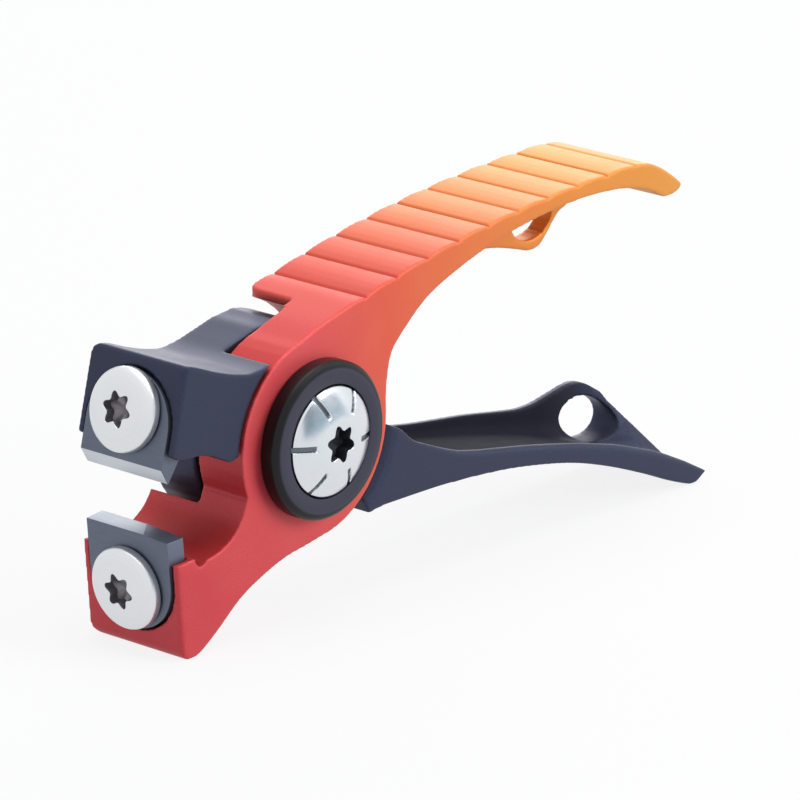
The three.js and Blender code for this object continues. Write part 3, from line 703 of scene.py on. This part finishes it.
ribbed = tumbled("ribbed_lever")
cut_ribs(ribbed)
dress(lightened(ribbed), "ribbed_lever", "ribbed_body", "red_anodised", red_anodised)
plain = tumbled("plain_lever")
dress(lightened(plain), "plain_lever", "plain_body", "black_anodised", black_anodised)

# %% [markdown]
# ## The plates
#
# The plates are hardened steel. Their faces are ground dark, and the two faces that cut are ground
# again and left bright: the bevel along the cutter's lower edge, and the anvil's land. The near end
# of the anvil falls away from its land, so it stays dark. A face is told by the way it looks, because
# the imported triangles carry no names.

# %% The plates with their bright faces
LAND_WAY = (0, 0, 1)
LAND_LEAST = 0.9985
BEVEL_WAY = (-1, 0, -0.98)
BEVEL_LEAST = 0.97


def bright_faces(piece, way, tilt, least):
    """Gives the second material to the faces that look that way in their lever's frame."""
    turned_way = (off_lever(way, tilt) - pivot).normalized()
    for face in piece.data.polygons:
        face.material_index = int(face.normal.dot(turned_way) > least)
    print(piece.name, "bright faces:", sum(face.material_index for face in piece.data.polygons))


anvil = settle(softened("anvil_plate"))
dress(anvil, "anvil_plate", "ribbed_body", "plate_steel", plate_steel, shaded_land_steel)
bright_faces(anvil, LAND_WAY, RIBBED_TILT, LAND_LEAST)
cutter = settle(softened("cutter_plate"))
dress(cutter, "cutter_plate", "plain_body", "plate_steel", plate_steel, edge_steel)
bright_faces(cutter, BEVEL_WAY, PLAIN_TILT, BEVEL_LEAST)

# %% [markdown]
# ## Turned pieces
#
# A screw head or a cup ring is turned on a lathe: a profile goes once round an axis. Here a profile
# is a list of rings, each with its radius and its height above the seat. Where the ring isn't round,
# as in the six-lobe recess of a screw, the radius is a rule of the turn instead of a number.

# %% Rings round an axis
TURNED_CREASE = math.radians(30)


def chamfered_pin(radius, length, chamfer):
    """Rings of a plain pin that ends in a chamfer, given as a share of its radius."""
    return [(radius * (1 - chamfer), -length), (radius, -length + radius * chamfer), (radius, 0)]


def dome_rings(foot, rim, flat, rise, count):
    """Rings up a quarter of an ellipse, from the rim's radius in to the flat middle."""
    angles = [math.pi / 2 * i / count for i in range(count + 1)]
    return [(flat + (foot - flat) * math.cos(angle), rim + rise * math.sin(angle)) for angle in angles]


def reach(radius, turn):
    """A ring's radius at a turn. It is a number, or a rule of the turn."""
    return radius(turn) if callable(radius) else radius


def turned_mesh(name, rings, sides, place, shade_from=None):
    """Joins the rings into one closed skin. place(radius, turn, height) gives a point in metres."""
    work = bmesh.new()
    turns = [2 * math.pi * i / sides for i in range(sides)]
    rows = []
    for radius, height in rings:
        rows.append([work.verts.new(place(reach(radius, turn), turn, height)) for turn in turns])
    for number, (row, following) in enumerate(zip(rows, rows[1:])):
        for i in range(sides):
            j = (i + 1) % sides
            face = work.faces.new((row[i], row[j], following[j], following[i]))
            # rings from that number on take the second material, a recess's painted shade
            face.material_index = int(shade_from is not None and number >= shade_from)
    work.faces.new(rows[0])
    last = work.faces.new(rows[-1])
    last.material_index = int(shade_from is not None)
    bmesh.ops.recalc_face_normals(work, faces=work.faces)
    piece = new_piece(name, work)
    piece.data.shade_smooth()
    piece.data.set_sharp_from_angle(angle=TURNED_CREASE)
    return piece


# %% Six-lobe recesses
LOBES = 6
LOBE_WAIST = 0.69
LOBE_POINT = 1.15
RECESS_ROUND = 0.05
RECESS_TAPER = 0.96
RECESS_CONE = 0.3
RECESS_CONE_DEPTH = 0.2
# the last rings of a recess, which get the painted shade
RECESS_SHADE_RINGS = 5
FLAT_SHARES = (0.35, 0.7)
EASE_SHARE = 0.6


def star_ring(radius, height, start):
    """A ring with six lobes, the first one at the start angle."""
    def at(turn):
        lobe = ((1 + math.cos(LOBES * (turn - start))) / 2) ** LOBE_POINT
        return radius * (LOBE_WAIST + (1 - LOBE_WAIST) * lobe)
    return at, height


def half_way(first, second, share):
    """A ring between two rings, the share of the way to the second."""
    def at(turn):
        start = reach(first[0], turn)
        return start + (reach(second[0], turn) - start) * share
    return at, first[1] + (second[1] - first[1]) * share


def recess_rings(flat, top, radius, depth, start):
    """Rings from the flat middle of a head down into its six-lobe recess. The last five are in it."""
    rim = (flat, top)
    mouth = star_ring(radius + RECESS_ROUND, top, start)
    lip = star_ring(radius, top - RECESS_ROUND, start)
    floor = star_ring(radius * RECESS_TAPER, top - depth, start)
    cone = (radius * RECESS_CONE, top - depth - radius * RECESS_CONE_DEPTH)
    between = [half_way(rim, mouth, share) for share in FLAT_SHARES]
    eased = half_way(mouth, lip, EASE_SHARE)
    return between + [mouth, eased, lip, floor, half_way(floor, cone, EASE_SHARE), cone]


print("a recess has lobes:", LOBES, "and dark rings:", RECESS_SHADE_RINGS)

# %% [markdown]
# ## The plate screws
#
# Each plate is held by one low round-headed screw of satin stainless steel. Its head is a flat dome
# with a thin rim, and painted shade darkens its deep six-lobe recess. The screw sits where the imported
# one does: its axis, the seat of its head and its radius are read off the imported piece.

# %% The two plate screws
HEAD_SIDES = 240
SCREW_STAR = 1.44
SCREW_DEPTH = 0.85
SCREW_FLAT = 1.6
SCREW_RIM = 0.5
SCREW_DOME = 0.78
SCREW_EASE = 0.06
SHANK = 1.48
SHANK_CHAMFER = 0.2
DOME_RINGS = 14
HEAD_SINK = 0.05
STAR_START = math.radians(9)


def plate_screw(node, tilt):
    """A screw along its lever, with its domed head towards the front of the jaw."""
    low, high = lever_box(node, tilt)
    axis = (low + high) / 2
    radius = (high.y - low.y) / 2 / MM
    seat = low.x / MM + SCREW_RIM + SCREW_DOME + HEAD_SINK

    def place(distance, turn, height):
        return off_lever(((seat - height) * MM, axis.y + distance * math.cos(turn) * MM,
                          axis.z + distance * math.sin(turn) * MM), tilt)

    shank = chamfered_pin(SHANK, high.x / MM - seat, SHANK_CHAMFER)
    rim = [(radius - SCREW_EASE, 0), (radius - SCREW_EASE / 3, SCREW_EASE / 3), (radius, SCREW_EASE),
           (radius, SCREW_RIM * 0.9)]
    dome = dome_rings(radius, SCREW_RIM, SCREW_FLAT, SCREW_DOME, DOME_RINGS)
    recess = recess_rings(SCREW_FLAT, SCREW_RIM + SCREW_DOME, SCREW_STAR, SCREW_DEPTH, STAR_START)
    rings = shank + rim + dome + recess
    return turned_mesh(node + "_finished", rings, HEAD_SIDES, place, len(rings) - RECESS_SHADE_RINGS)


def screw_finish(node, tilt):
    """Satin steel with its turning marks round that screw's own axis."""
    low, high = lever_box(node, tilt)
    centre = (low + high) / 2 / MM
    return turned_metal(node + "_steel", srgb(238, 240, 242), srgb(222, 225, 228), 0.3, 0.85,
                        "X", (centre.y, centre.z), tilt)


SCREWS = {"anvil_screw": ("ribbed_body", RIBBED_TILT), "cutter_screw": ("plain_body", PLAIN_TILT)}
for node, (body, tilt) in SCREWS.items():
    dress(plate_screw(node, tilt), node, body, "screw_steel", screw_finish(node, tilt), recess_shade_steel)

# %% [markdown]
# ## The pivot caps
#
# The pivot is a screw and a threaded barrel, each with a polished cap that sits in its cup ring. The
# cap bows from its rim up to a flat middle, and six short grooves run from near the flat out over the
# rim. The grooves are equal and evenly spaced, so a Geometry Nodes tree presses them in by one rule:
# it finds how far a point is from the nearest groove's middle, and lowers it there.

# %% A tree that presses grooves into a cap
CAP_SEAT = 5.6
GROOVE_TURN = math.radians(-9.6) + RIBBED_TILT
GROOVE_NONE = 0.2
GROOVE_FULL = 0.9


def groove_form(side):
    """A tree for the cap on one side of the tool: -1 is the near side."""
    form = Form("cap_grooves", Grooves=6, Start=2.6 * MM, Width=0.42 * MM, Depth=0.3 * MM,
                Edge=0.05 * MM)
    count, start, width, depth, edge = form.sizes
    here = form.node("GeometryNodeInputPosition")
    steps = form.node("ShaderNodeVectorMath", {"operation": "SUBTRACT"}, {0: here, 1: pivot})
    x, y, z = form.node("ShaderNodeSeparateXYZ", None, {0: steps}, ("X", "Y", "Z"))
    radius = (x * x + z * z) ** 0.5
    off = form.nearest(z.math("ARCTAN2", z, x), 2 * math.pi / count, GROOVE_TURN)
    aside = radius * off.math("SINE", off)
    within = 1 - form.span(aside, width / 2 - edge, width / 2 + edge)
    beyond = form.span(radius, start - edge, start + edge)
    raised = form.span(y * side, (CAP_SEAT + GROOVE_NONE) * MM, (CAP_SEAT + GROOVE_FULL) * MM)
    shift = form.node("ShaderNodeCombineXYZ", None, {"Y": within * beyond * raised * depth * -side})
    moved = form.node("GeometryNodeSetPosition", None, {"Geometry": form.geometry, "Offset": shift})
    form.close(moved, cap_steel)
    return form


# %% The two caps
CAP_SIDES = 720
CAP_FLAT = 1.85
CAP_TOP = 2.1
CAP_EASE = 0.08
CAP_LIP = 0.05
SLOPE_IN = math.radians(7)
SLOPE_OUT = math.radians(35)
CAP_STAR = 1.58
CAP_STAR_DEPTH = 1.2
CAP_STAR_START = math.radians(-14)
SCREW_STEM = 1.5
BARREL_STEM = 2.38
STEM_CHAMFER = 0.1
BOW_RINGS = 24
RECESS_WITHIN = CAP_STAR + 0.1
RECESS_FROM = 0.06
RECESS_TO = CAP_STAR_DEPTH + 0.5
GROOVE_LEAST = 0.1 * MM


def bowed_rings(foot, flat, top, count):
    """Rings from the rim up to the flat middle, on a slope that eases off evenly."""
    step = (foot - flat) / count
    rings = [(flat, top)]
    for i in range(count):
        slope = SLOPE_IN + (SLOPE_OUT - SLOPE_IN) * (i + 0.5) / count
        rings.append((rings[-1][0] + step, rings[-1][1] - step * math.tan(slope)))
    return rings[::-1]


def round_the_pivot(side, seat):
    """A rule that puts a ring's points round the pivot, at a height over the seat on one side."""
    def place(distance, turn, height):
        out = side * (seat + height)
        return pivot + Vector((distance * math.cos(turn), out, distance * math.sin(turn))) * MM
    return place


def pivot_cap(node, side, stem):
    """A cap with its stem, and how far each point was pressed down into a groove."""
    low, high = lever_box(node, 0)
    radius = (high.x - low.x) / 2 / MM
    shank = chamfered_pin(stem, (high.y - low.y) / MM - CAP_TOP, STEM_CHAMFER)
    dome = bowed_rings(radius - CAP_LIP, CAP_FLAT, CAP_TOP, BOW_RINGS)
    edge = dome[0][1]
    rim = [(radius - CAP_EASE, 0), (radius, CAP_EASE), (radius, edge * 0.5), (radius, edge - CAP_EASE)]
    recess = recess_rings(CAP_FLAT, CAP_TOP, CAP_STAR, CAP_STAR_DEPTH, CAP_STAR_START * -side)
    rings = shank + rim + dome + recess
    piece = turned_mesh(node + "_finished", rings, CAP_SIDES, round_the_pivot(side, CAP_SEAT))
    before = [vertex.co.y for vertex in piece.data.vertices]
    groove_form(side).grow(piece)
    drops = [abs(vertex.co.y - height) for vertex, height in zip(piece.data.vertices, before)]
    return piece, drops


def cap_faces(piece, side, drops):
    """The recess gets painted shade, and the floors of the pressed grooves are dull."""
    counts = [0, 0, 0]
    for face in piece.data.polygons:
        step = (face.center - pivot) / MM
        depth = CAP_SEAT + CAP_TOP - step.y * side
        in_recess = math.hypot(step.x, step.z) < RECESS_WITHIN and RECESS_FROM < depth < RECESS_TO
        in_groove = min(drops[i] for i in face.vertices) > GROOVE_LEAST
        face.material_index = 1 if in_recess else 2 if in_groove else 0
        counts[face.material_index] += 1
    print(piece.name, "faces by finish:", counts)


for node, side, stem in (("pivot_screw", -1, SCREW_STEM), ("pivot_barrel", 1, BARREL_STEM)):
    cap, drops = pivot_cap(node, side, stem)
    dress(cap, node, "ribbed_body", "cap_steel", cap_steel, cap_recess_shade, groove_steel)
    cap_faces(cap, side, drops)

# %% [markdown]
# ## The cup rings
#
# Round each cap stands a dark ring with a flat face, a rounded outer shoulder and a bore just wider
# than the cap. It hides the gap between the lever and the bush, and it is turned satin black. Painted
# shade makes its outer wall and the outer part of its shoulder near black.

# %% The two cup rings
HALF_WIDTH = 5
RING_SIDES = 360
RING_FOOT = 6.43
RING_FACE = 5.6
RING_SHOULDER = 1.1
RING_HEIGHT = 1.6
RING_FLOOR = 0.62
RING_BORE = 4.6
RING_EASE = 0.08
RING_LIP = 0.12
RING_LIFT = 0.02
BARREL_HOLE = 2.65
SHOULDER_RINGS = 10


def cup_ring(node, side):
    """A ring round a cap, as a closed skin from its foot over the face and down the bore."""
    wall = [(RING_FOOT - RING_EASE, RING_LIFT), (RING_FOOT, RING_LIFT + RING_EASE),
            (RING_FOOT, RING_SHOULDER * 0.6)]
    shoulder = dome_rings(RING_FOOT, RING_SHOULDER, RING_FACE, RING_HEIGHT - RING_SHOULDER,
                          SHOULDER_RINGS)
    lip = [(RING_BORE + RING_LIP, RING_HEIGHT), (RING_BORE + RING_LIP / 4, RING_HEIGHT - RING_LIP / 4),
           (RING_BORE, RING_HEIGHT - RING_LIP)]
    inside = [(RING_BORE, RING_FLOOR), (BARREL_HOLE, RING_FLOOR), (BARREL_HOLE, RING_LIFT)]
    rings = wall + shoulder + lip + inside
    return turned_mesh(node + "_finished", rings, RING_SIDES, round_the_pivot(side, HALF_WIDTH))


def open_bore(piece):
    """Takes the two end discs out and joins the bore to the foot, so the ring is one closed ring."""
    work = bmesh.new()
    work.from_mesh(piece.data)
    discs = [face for face in work.faces if len(face.verts) > 4]
    edges = [edge for face in discs for edge in face.edges]
    bmesh.ops.delete(work, geom=discs, context="FACES_ONLY")
    bmesh.ops.bridge_loops(work, edges=edges)
    bmesh.ops.recalc_face_normals(work, faces=work.faces)
    work.to_mesh(piece.data)
    work.free()
    print(piece.name, "closed ring with", len(piece.data.polygons), "faces")


for node, side, body in (("near_ring", -1, "ribbed_body"), ("far_ring", 1, "plain_body")):
    ring = cup_ring(node, side)
    open_bore(ring)
    dress(ring, node, body, "ring_steel", ring_steel)

# %% [markdown]
# ## The return spring
#
# Inside the hub a wire spring pushes the jaws open. Its wire follows a helix, and each end runs out
# along a short straight leg into a slot of one lever. A Geometry Nodes tree draws the helix, adds the
# legs and sweeps a round section along them. Nothing shows it in use, as the hub closes round it.

# %% A tree that winds the spring
SPRING_STEPS = 300
SPRING_TURNS = 3.5
SPRING_HEIGHT = 3
LEG_SHARE = 0.03
FIRST_LEG = math.radians(50) + RIBBED_TILT


def spring_form():
    """A tree that draws the wire's path round the pivot and sweeps its section along it."""
    form = Form("spring_wire", Radius=3.4 * MM, Wire=0.34 * MM, Height=SPRING_HEIGHT * MM, Leg=1.5 * MM)
    radius, wire, height, leg = form.sizes
    line = form.node("GeometryNodeMeshLine", None, {"Count": SPRING_STEPS})
    share = form.node("GeometryNodeInputIndex") / (SPRING_STEPS - 1)
    wound = share.clamp(LEG_SHARE, 1 - LEG_SHARE)
    out = (1 - share.clamp(0, LEG_SHARE)) + share.clamp(1 - LEG_SHARE, 1)
    turn = wound * (SPRING_TURNS * 2 * math.pi) + FIRST_LEG
    reach = radius + leg * out
    place = form.node("ShaderNodeCombineXYZ", None, {
        "X": reach * turn.math("COSINE", turn) + pivot.x,
        "Y": wound * height - SPRING_HEIGHT / 2 * MM,
        "Z": reach * turn.math("SINE", turn) + pivot.z})
    path = form.node("GeometryNodeSetPosition", None, {"Geometry": line, "Position": place})
    curve = form.node("GeometryNodeMeshToCurve", None, {"Mesh": path})
    section = form.node("GeometryNodeCurvePrimitiveCircle", None, {"Resolution": 16, "Radius": wire})
    swept = form.node("GeometryNodeCurveToMesh", None,
                      {"Curve": curve, "Profile Curve": section, "Fill Caps": True})
    form.close(swept, pin_steel)
    return form


spring = new_piece("return_spring_finished", bmesh.new())
spring_form().grow(spring)
spring.data.shade_smooth()
dress(spring, "return_spring", "ribbed_body", "pin_steel", pin_steel)

# %% [markdown]
# ## The pieces inside the hub
#
# Two flanged bushes carry the levers, a thin washer keeps them apart, and a short pin stops them. They
# hide inside the closed hub, so a softened copy and a plain turned finish are enough for each.

# %% The pieces inside the hub
INSIDE = {
    "near_bush": ("ribbed_body", "bush_bronze", bush_bronze),
    "far_bush": ("plain_body", "bush_bronze", bush_bronze),
    "thrust_washer": ("ribbed_body", "bush_bronze", bush_bronze),
    "stop_pin": ("ribbed_body", "pin_steel", pin_steel),
}
for node, (body, slot, material) in INSIDE.items():
    dress(settle(softened(node)), node, body, slot, material)

# %% [markdown]
# ## The floor and the dark card
#
# The floor is a pale sheet. To the camera and in reflections it is nearly white and keeps the tool's
# shadow. It throws little light back up, as the photograph's undersides are dark. Photographers stand
# a dark card beside the camera, so that polished metal has something to show: here it gives the upper
# left of the pivot cap the dark patch that it has in the photograph. Only reflections show the card.

# %% The floor
FLOOR_HALF = 2
FLOOR_GLOW = 0.86
FLOOR_PALE = (0.86, 0.86, 0.86, 1)
FLOOR_DULL = (0.42, 0.42, 0.42, 1)


def floor_finish():
    """Nearly white to the eye, and a dull grey to the light that falls on it."""
    finish = Finish("floor_paint")
    seen = finish.seen_ray()
    pale = finish.node("ShaderNodeBsdfDiffuse", None, {"Color": FLOOR_PALE})
    dull = finish.node("ShaderNodeBsdfDiffuse", None, {"Color": FLOOR_DULL})
    glow = finish.node("ShaderNodeEmission", None, {"Color": WHITE, "Strength": 1})
    paint = finish.node("ShaderNodeMixShader", None, {0: seen, 1: dull, 2: pale})
    shown = finish.node("ShaderNodeMixShader", None, {0: seen * FLOOR_GLOW, 1: paint, 2: glow})
    finish.node("ShaderNodeOutputMaterial", None, {"Surface": shown}, ())
    return finish.material


def sheet(name, corners, material):
    """A flat sheet that belongs to the studio and not to the tool."""
    work = bmesh.new()
    work.faces.new([work.verts.new(corner) for corner in corners])
    made = new_piece(name, work)
    made.data.materials.append(material)
    return made


floor_corners = [(x * FLOOR_HALF, y * FLOOR_HALF, 0) for x, y in ((-1, -1), (1, -1), (1, 1), (-1, 1))]
floor = sheet("floor", floor_corners, floor_finish())
print("floor width in m:", floor.dimensions.x)

# %% The dark card
CARD_DISTANCE = 0.4
CARD_TURN = math.radians(20)
CARD_HALF = 0.24
CARD_HEIGHT = 0.3
CARD_SHADES = [(0.0, (0.3, 0.42, 0.52, 1)), (0.25, (0.12, 0.22, 0.29, 1)), (0.8, (0.03, 0.07, 0.1, 1))]


def card_finish():
    """Blue-grey, and darker towards its top."""
    finish = Finish("card_paint")
    _, (_, _, above) = finish.place()
    shade = finish.ramp(above / (CARD_HEIGHT / MM), CARD_SHADES)
    return finish.close(Base_Color=(0, 0, 0, 1), Emission_Color=shade, Emission_Strength=1)


facing = Vector((math.sin(CARD_TURN), -math.cos(CARD_TURN), 0))
aside = Vector((math.cos(CARD_TURN), math.sin(CARD_TURN), 0))
rise = Vector((0, 0, CARD_HEIGHT))
left, right = (facing * CARD_DISTANCE + aside * across for across in (-CARD_HALF, CARD_HALF))
corners = [left, right, right + rise, left + rise]
card = sheet("card", corners, card_finish())
card.visible_camera = False
card.visible_diffuse = False
card.visible_shadow = False
print("card corners in m:", [[round(x, 2) for x in corner] for corner in corners])

# %% [markdown]
# ## The colour view
#
# The Standard view keeps the colours as the finishes give them.

# %% The colour view
bpy.context.scene.view_settings.view_transform = "Standard"
